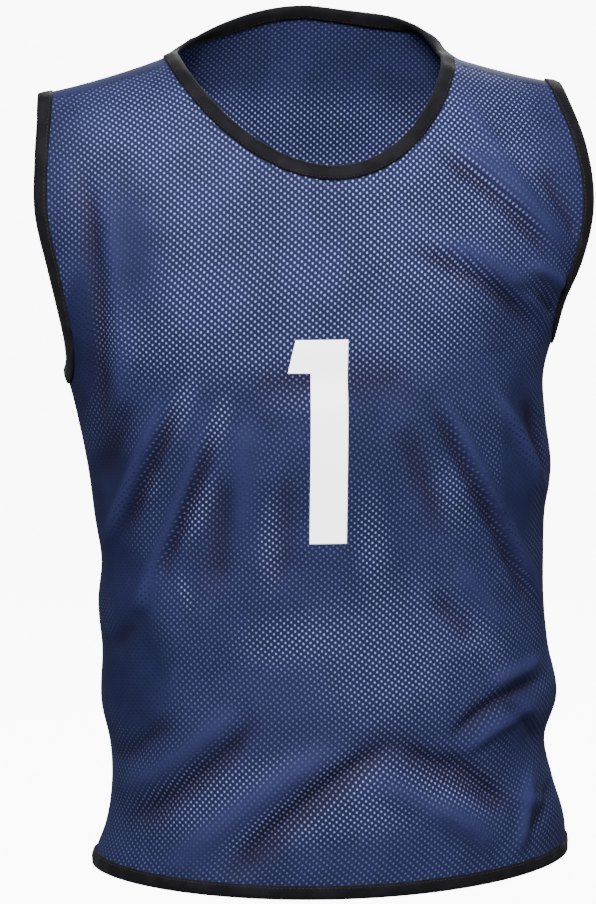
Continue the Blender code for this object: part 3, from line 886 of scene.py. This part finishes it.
def make_panel(side):
    grid = fill_between(side, *outline(side))
    across, reach = grid[..., 0], grid[..., 1]
    smooth = surface(side, across, reach)
    fade = soft_step((edge_distance(side, smooth, *outline(side)) - FADE_START) / FADE_LENGTH)
    points, heights = folded(side, across, reach, fade)
    flat = flat_place(side, across, reach)
    end = flat_place(side, np.where(across < 0, -1.0, 1.0), reach)
    to_seam = np.abs(end[..., 0] - flat[..., 0])
    mesh = grid_mesh(points)
    lay_uv(mesh, "flat_cloth", flat)
    lay_values(mesh, "painted_hole_light", painted_hole_light(side, points, heights))
    lay_values(mesh, "painted_fold_shade", FOOT_PAINTED_SHADE * np.clip(-heights / FOLD_FOOT, 0.0, 1.0))
    lay_values(mesh, "painted_crest_highlight", CREST_PAINTED_HIGHLIGHT * np.clip(heights / CREST, 0.0, 1.0))
    past_bands = np.minimum(to_seam - SIDE_BAND, reach - SHOULDER_BAND[side])
    lay_values(mesh, "seam_band", 1 - soft_step(past_bands / BAND_EDGE))
    turn_outward(mesh, FACING[side])
    piece = finish_piece(f"{side}_cloth", mesh, KNIT)
    add_wall(piece, CLOTH_THICK, 1.0)
    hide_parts(f"{side}_panel")
    return piece, flat


panels, flat_cuts = {}, {}
for side in SIDES:
    panels[side], flat_cuts[side] = make_panel(side)
print({side: len(piece.data.polygons) for side, piece in panels.items()})

# %% [markdown]
# ## The tapes
#
# Each raw edge is wrapped in a black knit tape, 10.5 mm wide when folded. A cross-section is a
# narrow U over the edge. The sections are lofted round the edge as a grid, and the two ends
# of the grid are welded. A slow, uneven waver along it keeps it from looking like plastic.

# %% The finish of the tape
TAPE_BLACK = tone(8, 8, 12)
TAPE_GREY = tone(16, 15, 20)
RIB_PITCH, RIB_BUMP = 0.0013, 0.5
FUZZ_SCALE, WORN_SCALE = 900.0, 60.0
WORN_LOW, WORN_HIGH = 0.4, 0.7
TAPE_ROUGH, FUZZ_ROUGH = 0.70, 0.15


def tape_finish():
    finish = Finish("black_binding_tape")
    along, _, _ = finish.parts(finish.uv("flat_tape"))
    rib = (along * (2 * math.pi / RIB_PITCH)).math("SINE")
    yarn = finish.noise(finish.place(), FUZZ_SCALE)
    worn = finish.noise(finish.place(), WORN_SCALE)
    finish.set("Base Color", finish.mix(worn.smooth(WORN_LOW, WORN_HIGH), TAPE_BLACK, TAPE_GREY))
    finish.bump(rib * RIB_BUMP + yarn, strength=0.35, distance=0.0003)
    finish.set("Roughness", TAPE_ROUGH + FUZZ_ROUGH * yarn)
    finish.set("Specular IOR Level", 0.10)
    finish.set("Sheen Weight", 0.02)
    finish.set("Sheen Roughness", 0.5)
    return finish.material


TAPE = tape_finish()

# %% Where a tape's legs end on the cloth
TAPE_WIDTH = 0.0105
TAPE_WALL = 0.0008
TAPE_CLEAR = 0.0004
EDGE_TURN = {"neck": 1.0, "hem": -1.0, "left": 1.0, "right": -1.0}


def step_inland(side, places, inland, width):
    """The places that lie a given width in from an edge."""
    by_across, by_reach = slopes_at(side, *places.T)
    stretch = np.stack([by_across, by_reach], axis=-1)
    moves = np.array([np.linalg.lstsq(s, i * width, rcond=None)[0] for s, i in zip(stretch, inland)])
    moved = places + moves
    return np.stack([np.clip(moved[:, 0], -1, 1), np.maximum(moved[:, 1], 0.0)], axis=-1)


# %% The U of a tape, all round its edge
WAVER = 0.00035
WAVER_PITCHES = (0.0310, 0.0193)
LEG_SHARES = (1.0, 0.66, 0.33)
PUFF = (0.0, 0.00035, 0.00045)
NOSE_BULGE, RIM_HEIGHT, RIM_BULGE = 1.3, 0.8, 0.5


def tape_frame(side, edge_name, places):
    """The edge, the way inland from it, and the slow waver along it."""
    edge = surface(side, *places.T)
    along = np.gradient(edge, axis=0) * EDGE_TURN[edge_name] * -FACING[side]
    inland = unit(np.cross(along, outward(side, *places.T)))
    turn = running_length(edge) * 2 * math.pi
    waver = WAVER * sum(np.sin(turn / pitch) for pitch in WAVER_PITCHES)
    return edge, inland, waver


def tape_part(side, edge_name, places):
    """Sections of a tape along one panel's edge, each from the outer leg to the inner one."""
    edge, inland, waver = tape_frame(side, edge_name, places)
    normal = outward(side, *places.T)
    legs = []
    for share in LEG_SHARES:
        at = step_inland(side, places, inland, TAPE_WIDTH * share)
        legs.append((surface(side, *at.T), outward(side, *at.T)))
    over, under = CLOTH_THICK + TAPE_CLEAR, -TAPE_CLEAR
    lift = [over + TAPE_WALL + p + waver for p in PUFF]
    outer = [leg + n * up[:, None] for (leg, n), up in zip(legs, lift)]
    inner = [leg + n * (under - TAPE_WALL - p) for (leg, n), p in zip(legs, PUFF)]
    rim = edge - inland * TAPE_CLEAR
    nose = rim + normal * CLOTH_THICK / 2 - inland * (TAPE_WALL * NOSE_BULGE)
    bulge = inland * TAPE_WALL * RIM_BULGE
    turn_out = rim + normal * (over + TAPE_WALL * RIM_HEIGHT) - bulge
    turn_in = rim + normal * (under - TAPE_WALL * RIM_HEIGHT) - bulge
    first_leg, first_normal = legs[0]
    closing = [first_leg + first_normal * under, rim + normal * under, rim + normal * over,
               first_leg + first_normal * over]
    return np.stack([*outer, turn_out, nose, turn_in, *inner[::-1], *closing], axis=1)


# %% Join the parts into a ring
WELD = 1e-6
RING_COUNTS = {"neck": 110, "hem": 190, "left": 90, "right": 90}
TAPED_EDGES = {"neck": "neck", "hem": "hem", "left": "left_armhole", "right": "right_armhole"}


def edge_places(edge_name, side, count):
    if edge_name in HANDS:
        return armhole_line(side, edge_name, count)
    return (neck_line if edge_name == "neck" else hem_line)(side, count)


def make_tape(name, edge_name):
    count = RING_COUNTS[edge_name]
    front, back = [tape_part(side, edge_name, edge_places(edge_name, side, count)) for side in SIDES]
    back = back[::-1]
    meet = (front[-1] + back[0]) / 2
    close = (front[0] + back[-1]) / 2
    ring = np.concatenate([close[None], front[1:-1], meet[None], back[1:-1], close[None]])
    ring = np.concatenate([ring, ring[:, :1]], axis=1)
    middle = running_length(ring[:, 4])
    width = running_length(ring[0])
    flat = np.stack(np.broadcast_arrays(middle[:, None], width[None]), axis=-1)
    mesh = grid_mesh(ring)
    lay_uv(mesh, "flat_tape", flat)
    bmesh.ops.remove_doubles(mesh, verts=mesh.verts, dist=WELD)
    bmesh.ops.recalc_face_normals(mesh, faces=mesh.faces)
    piece = finish_piece(name, mesh, TAPE)
    print(name, "cut length in m:", round(float(middle[-1]), 3))
    return piece


tapes = {edge: make_tape(f"{place}_tape", edge) for edge, place in TAPED_EDGES.items()}
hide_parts("neck_binding")
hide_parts("hem_binding")
for hand in HANDS:
    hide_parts(f"{hand}_armhole_binding")

# %% [markdown]
# ## Stitches and seams
#
# A machine sews each tape down near its inner edge, through all the layers, so the row shows
# on both faces. A stitch is a tiny stretched ball, half sunk in the tape. The joined edges of
# the two panels are overlocked inside: a flat soft rib runs down each side seam and along
# each shoulder. The front shoulder has one more row, where the turned edge is held down.

# %% Thread
STITCH_PITCH = 0.0034
STITCH_LONG = 0.0026
STITCH_THICK = 0.0006
STITCH_BATCH = 20
THREAD_ROUGH, TWIST_ROUGH = 0.45, 0.2


def thread_finish(name, dark, light):
    finish = Finish(name)
    twist = finish.noise(finish.place(), YARN_SCALE, detail=1.0)
    finish.set("Base Color", finish.mix(twist, dark, light))
    finish.bump(twist, strength=0.3, distance=0.0002)
    finish.set("Roughness", THREAD_ROUGH + TWIST_ROUGH * twist)
    finish.set("Specular IOR Level", 0.25)
    return finish.material


BLACK_THREAD = thread_finish("black_thread", tone(12, 12, 16), tone(26, 25, 31))
NAVY_THREAD = thread_finish("navy_thread", tone(24, 27, 54), tone(36, 40, 74))


def add_ball(mesh, first, last, normal):
    """One stitch, from first to last, as a small ball that is pulled long."""
    along = Vector(last - first).normalized()
    aside = Vector(normal).cross(along).normalized()
    columns = (aside * STITCH_THICK, along.cross(aside) * STITCH_THICK, along * STITCH_LONG)
    place = Matrix(columns).transposed().to_4x4()
    place.translation = Vector((first + last) / 2)
    bmesh.ops.create_uvsphere(mesh, u_segments=6, v_segments=4, radius=0.5, matrix=place)


def add_stitches(mesh, points, normals):
    """A row of stitches. An operator slows down in a large mesh, so a few are made at a time."""
    run = running_length(points)
    count = round(run[-1] / STITCH_PITCH)
    marks = (np.arange(count) + 0.5) * run[-1] / count
    ahead = read_along(run, points, marks + STITCH_PITCH / 4)
    behind = read_along(run, points, marks - STITCH_PITCH / 4)
    up = read_along(run, normals, marks)
    batch = bpy.data.meshes.new("stitch_batch")
    for start in range(0, count, STITCH_BATCH):
        few = bmesh.new()
        for k in range(start, min(start + STITCH_BATCH, count)):
            add_ball(few, behind[k], ahead[k], up[k])
        few.to_mesh(batch)
        few.free()
        mesh.from_mesh(batch)
    bpy.data.meshes.remove(batch)
    return count


# %% Two rows on each tape
STITCH_INSET = 0.0018
STITCH_SINK = 0.00015


def sew_tape(name, edge_name):
    mesh = bmesh.new()
    count = 0
    for side in SIDES:
        places = edge_places(edge_name, side, RING_COUNTS[edge_name])
        edge, inland, waver = tape_frame(side, edge_name, places)
        at = step_inland(side, places, inland, TAPE_WIDTH - STITCH_INSET)
        points, normal = surface(side, *at.T), outward(side, *at.T)
        over = CLOTH_THICK + TAPE_CLEAR + TAPE_WALL + STITCH_SINK + waver
        under = -(TAPE_CLEAR + TAPE_WALL + STITCH_SINK)
        count += add_stitches(mesh, points + normal * over[:, None], normal)
        count += add_stitches(mesh, points + normal * under, -normal)
    print(name, "stitches:", count)
    return finish_piece(name, mesh, BLACK_THREAD)


rows_of_stitches = [sew_tape(f"{place}_stitches", edge) for edge, place in TAPED_EDGES.items()]

# %% The overlocked seams inside
SEAM_WIDE = 0.0060
SEAM_THICK = 0.0012
SEAM_DEEP = 0.0011
SEAM_TRIM = 0.0098
SEAM_SECTIONS = 150
SEAM_FACETS = 10
SEAM_BITE = 0.00018


def make_seam(name, points, inward):
    """A flat rib along a line, a little in from it, with the small bites of its thread."""
    run = running_length(points)
    line = read_along(run, points, np.linspace(SEAM_TRIM, run[-1] - SEAM_TRIM, SEAM_SECTIONS))
    along = unit(np.gradient(line, axis=0))
    wide = unit(np.cross(along, np.broadcast_to(inward, along.shape)))
    deep = np.cross(wide, along)
    turn = np.linspace(0.0, 2 * math.pi, SEAM_FACETS + 1)
    bite = SEAM_BITE * (np.arange(SEAM_SECTIONS) % 2)[:, None, None]
    middle = line + np.array(inward) * SEAM_DEEP
    ring = np.cos(turn)[None, :, None] * wide[:, None] * (SEAM_WIDE / 2 - bite)
    ring = ring + np.sin(turn)[None, :, None] * deep[:, None] * (SEAM_THICK / 2 - bite)
    mesh = grid_mesh(middle[:, None] + ring)
    bmesh.ops.remove_doubles(mesh, verts=mesh.verts, dist=WELD)
    bmesh.ops.holes_fill(mesh, edges=[edge for edge in mesh.edges if edge.is_boundary])
    bmesh.ops.recalc_face_normals(mesh, faces=mesh.faces)
    return finish_piece(name, mesh, NAVY_THREAD)


def middle_line(*lines):
    return sum(surface(side, *line.T) for side, line in zip(SIDES, lines)) / 2


for hand in HANDS:
    sides = [side_line(side, hand, DENSE) for side in SIDES]
    make_seam(f"{hand}_side_seam", middle_line(*sides), (-SIGN[hand], 0.0, 0.0))
    tops = [shoulder_line(side, neck_end(hand), SIGN[hand] * TIP_ACROSS, DENSE) for side in SIDES]
    make_seam(f"{hand}_shoulder_seam", middle_line(*tops), (0.0, 0.0, -1.0))

# %% The row that holds the front shoulders down
TOPSTITCH_TRIM = 0.0150


def sew_shoulders():
    mesh = bmesh.new()
    for hand in HANDS:
        across = np.linspace(neck_end(hand), SIGN[hand] * TIP_ACROSS, DENSE)
        reach = np.full(DENSE, SHOULDER_BAND["front"])
        points = surface("front", across, reach)
        normal = outward("front", across, reach)
        run = running_length(points)
        marks = np.linspace(TOPSTITCH_TRIM, run[-1] - TOPSTITCH_TRIM, DENSE)
        points, normal = read_along(run, points, marks), read_along(run, normal, marks)
        add_stitches(mesh, points + normal * (CLOTH_THICK + STITCH_SINK), normal)
    return finish_piece("shoulder_topstitch", mesh, NAVY_THREAD)


rows_of_stitches.append(sew_shoulders())

# %% [markdown]
# ## The numeral
#
# The numeral is a white film, pressed on with heat. It follows the cloth, folds and all, so
# it is a fine flat grid, cut to the outline of a plain block "1" with bisecting planes, and
# each vertex is then laid on the front's own surface, a little proud of it.

# %% The outline of the numeral, seen from the front
STEM_LEFT, STEM_RIGHT = -0.0066, 0.0230
STEM_TOP, STEM_FOOT = -0.2216, -0.3856
FLAG_LOW = -0.2482
FLAG_TIP_TOP, FLAG_TIP_LOW = -0.0185, -0.0248
FILM_CELL = 0.0015
FILM_PROUD = 0.0004
FILM_PAINTED_GLOW = 1.5
FILM_THICK = 0.0002
FILM_GRAIN = 700.0
FILM_ROUGH, GRAIN_ROUGH = 0.55, 0.1


def block_one():
    """A flat block numeral in x and z, as a fine grid."""
    width, height = STEM_RIGHT - FLAG_TIP_LOW, STEM_TOP - STEM_FOOT
    mesh = bmesh.new()
    columns, rows = round(width / FILM_CELL), round(height / FILM_CELL)
    bmesh.ops.create_grid(mesh, x_segments=columns, y_segments=rows, size=0.5)
    bmesh.ops.scale(mesh, vec=(width, height, 1.0), verts=mesh.verts)
    shift = ((STEM_RIGHT + FLAG_TIP_LOW) / 2, (STEM_TOP + STEM_FOOT) / 2, 0.0)
    bmesh.ops.translate(mesh, vec=shift, verts=mesh.verts)
    slant = Vector((FLAG_TIP_TOP - FLAG_TIP_LOW, STEM_TOP - FLAG_LOW, 0.0))
    tip, past = Vector((FLAG_TIP_LOW, FLAG_LOW, 0.0)), Vector((slant.y, -slant.x, 0.0))
    cuts = (
        ((STEM_LEFT, 0.0, 0.0), (1.0, 0.0, 0.0)),
        ((0.0, FLAG_LOW, 0.0), (0.0, 1.0, 0.0)),
        (tip, past),
    )
    for place, normal in cuts:
        everything = mesh.verts[:] + mesh.edges[:] + mesh.faces[:]
        bmesh.ops.bisect_plane(mesh, geom=everything, plane_co=place, plane_no=normal)
    spare = []
    for face in mesh.faces:
        middle = face.calc_center_median()
        on_flag = middle.y > FLAG_LOW and (middle - tip).dot(past) > 0
        if not (middle.x > STEM_LEFT or on_flag):
            spare.append(face)
    bmesh.ops.delete(mesh, geom=spare, context="FACES")
    return mesh


# %% Lay it on the front


def front_place(x, z):
    level = np.minimum(z, 0.0)
    for _ in range(SETTLE_ROUNDS):
        level = z - slope_lift(x, level)
    return across_of(x, level), reach_of(level)


def film_finish():
    finish = Finish("white_heat_pressed_film")
    grain = finish.noise(finish.place(), FILM_GRAIN)
    finish.set("Base Color", finish.mix(grain, tone(244, 244, 246), tone(252, 252, 253)))
    finish.bump(grain, strength=0.15, distance=0.0002)
    finish.set("Roughness", FILM_ROUGH + GRAIN_ROUGH * grain)
    # the film glows a little: painted light that makes it read whiter than it is lit
    finish.glow(FILM_PAINTED_GLOW)
    return finish.material


def make_numeral():
    mesh = block_one()
    flat = np.array([vertex.co[:] for vertex in mesh.verts])
    across, reach = front_place(flat[:, 0], flat[:, 1])
    points, _ = folded("front", across, reach, 1.0)
    points = points + outward("front", across, reach) * (CLOTH_THICK + FILM_PROUD)
    for vertex, point in zip(mesh.verts, points):
        vertex.co = point
    turn_outward(mesh, FACING["front"])
    piece = finish_piece("numeral_film", mesh, film_finish())
    add_wall(piece, FILM_THICK, 0.0)
    return piece


numeral = make_numeral()
print("numeral faces:", len(numeral.data.polygons))

# %% [markdown]
#
# Both panels are sheets that were cut flat, and each vertex already knows its place on the flat
# cloth.

# %%


# %% [markdown]
# ## The studio
#
# The bib is shown filled out, well above a pale floor, which turns up into a pale round wall far
# away. A line that runs out from the middle, round a bend and up is spun once round, so that
# every view has the same background. The floor and the wall glow a little and throw no light
# on the cloth: three soft lamps and a pale sky do that.

# %% Floor and wall
FLOOR_LEVEL = -1.10
WALL_AWAY, BEND_RADIUS, WALL_TOP = 12.0, 3.0, 16.0
BEND_STEPS = 12
SPIN_STEPS = 48
FLOOR_GLOW = 9.0
FLOOR_PALE = (0.94, 0.94, 0.94, 1.0)


def studio_finish():
    finish = Finish("pale_studio")
    finish.set("Base Color", FLOOR_PALE)
    finish.set("Roughness", 0.9)
    finish.glow(FLOOR_GLOW)
    return finish.material


def make_floor():
    mesh = bmesh.new()
    line = [mesh.verts.new((0.0, 0.0, FLOOR_LEVEL))]
    for k in range(BEND_STEPS + 1):
        turn = math.pi / 2 * k / BEND_STEPS
        x = WALL_AWAY - BEND_RADIUS + BEND_RADIUS * math.sin(turn)
        line.append(mesh.verts.new((x, 0.0, FLOOR_LEVEL + BEND_RADIUS * (1 - math.cos(turn)))))
    line.append(mesh.verts.new((WALL_AWAY, 0.0, WALL_TOP)))
    line.append(mesh.verts.new((0.0, 0.0, WALL_TOP)))
    edges = [mesh.edges.new(pair) for pair in zip(line, line[1:])]
    bmesh.ops.spin(mesh, geom=line + edges, cent=(0.0, 0.0, 0.0), axis=(0.0, 0.0, 1.0),
                   angle=2 * math.pi, steps=SPIN_STEPS, use_merge=True)
    bmesh.ops.remove_doubles(mesh, verts=mesh.verts, dist=WELD)
    floor = add_object("studio_floor", mesh, studio_finish())
    floor.visible_diffuse = floor.visible_glossy = floor.visible_shadow = False


make_floor()

# %% Lamps and sky
LAMP_COLUMNS = ("name", "azimuth", "elevation", "away", "size", "watts")
LAMPS = (
    ("key_lamp", -17.0, 40.0, 2.6, 1.1, 180.0),
    ("fill_lamp", 34.0, 12.0, 2.8, 1.8, 40.0),
    ("back_lamp", 165.0, 40.0, 2.8, 1.6, 110.0),
)
SKY_COLOUR = (0.95, 0.97, 1.0, 1.0)
SKY_STRENGTH = 0.35


def make_lamp(name, azimuth, elevation, away, size, watts):
    data = bpy.data.lights.new(name, "AREA")
    data.shape, data.size, data.energy = "DISK", size, watts
    aim_at_bib(name, data, azimuth, elevation, away)


for row in LAMPS:
    make_lamp(**dict(zip(LAMP_COLUMNS, row)))
sky = bpy.data.worlds.new("pale_sky")
sky.use_nodes = True
background = sky.node_tree.nodes["Background"]
background.inputs["Color"].default_value = SKY_COLOUR
background.inputs["Strength"].default_value = SKY_STRENGTH
bpy.context.scene.world = sky
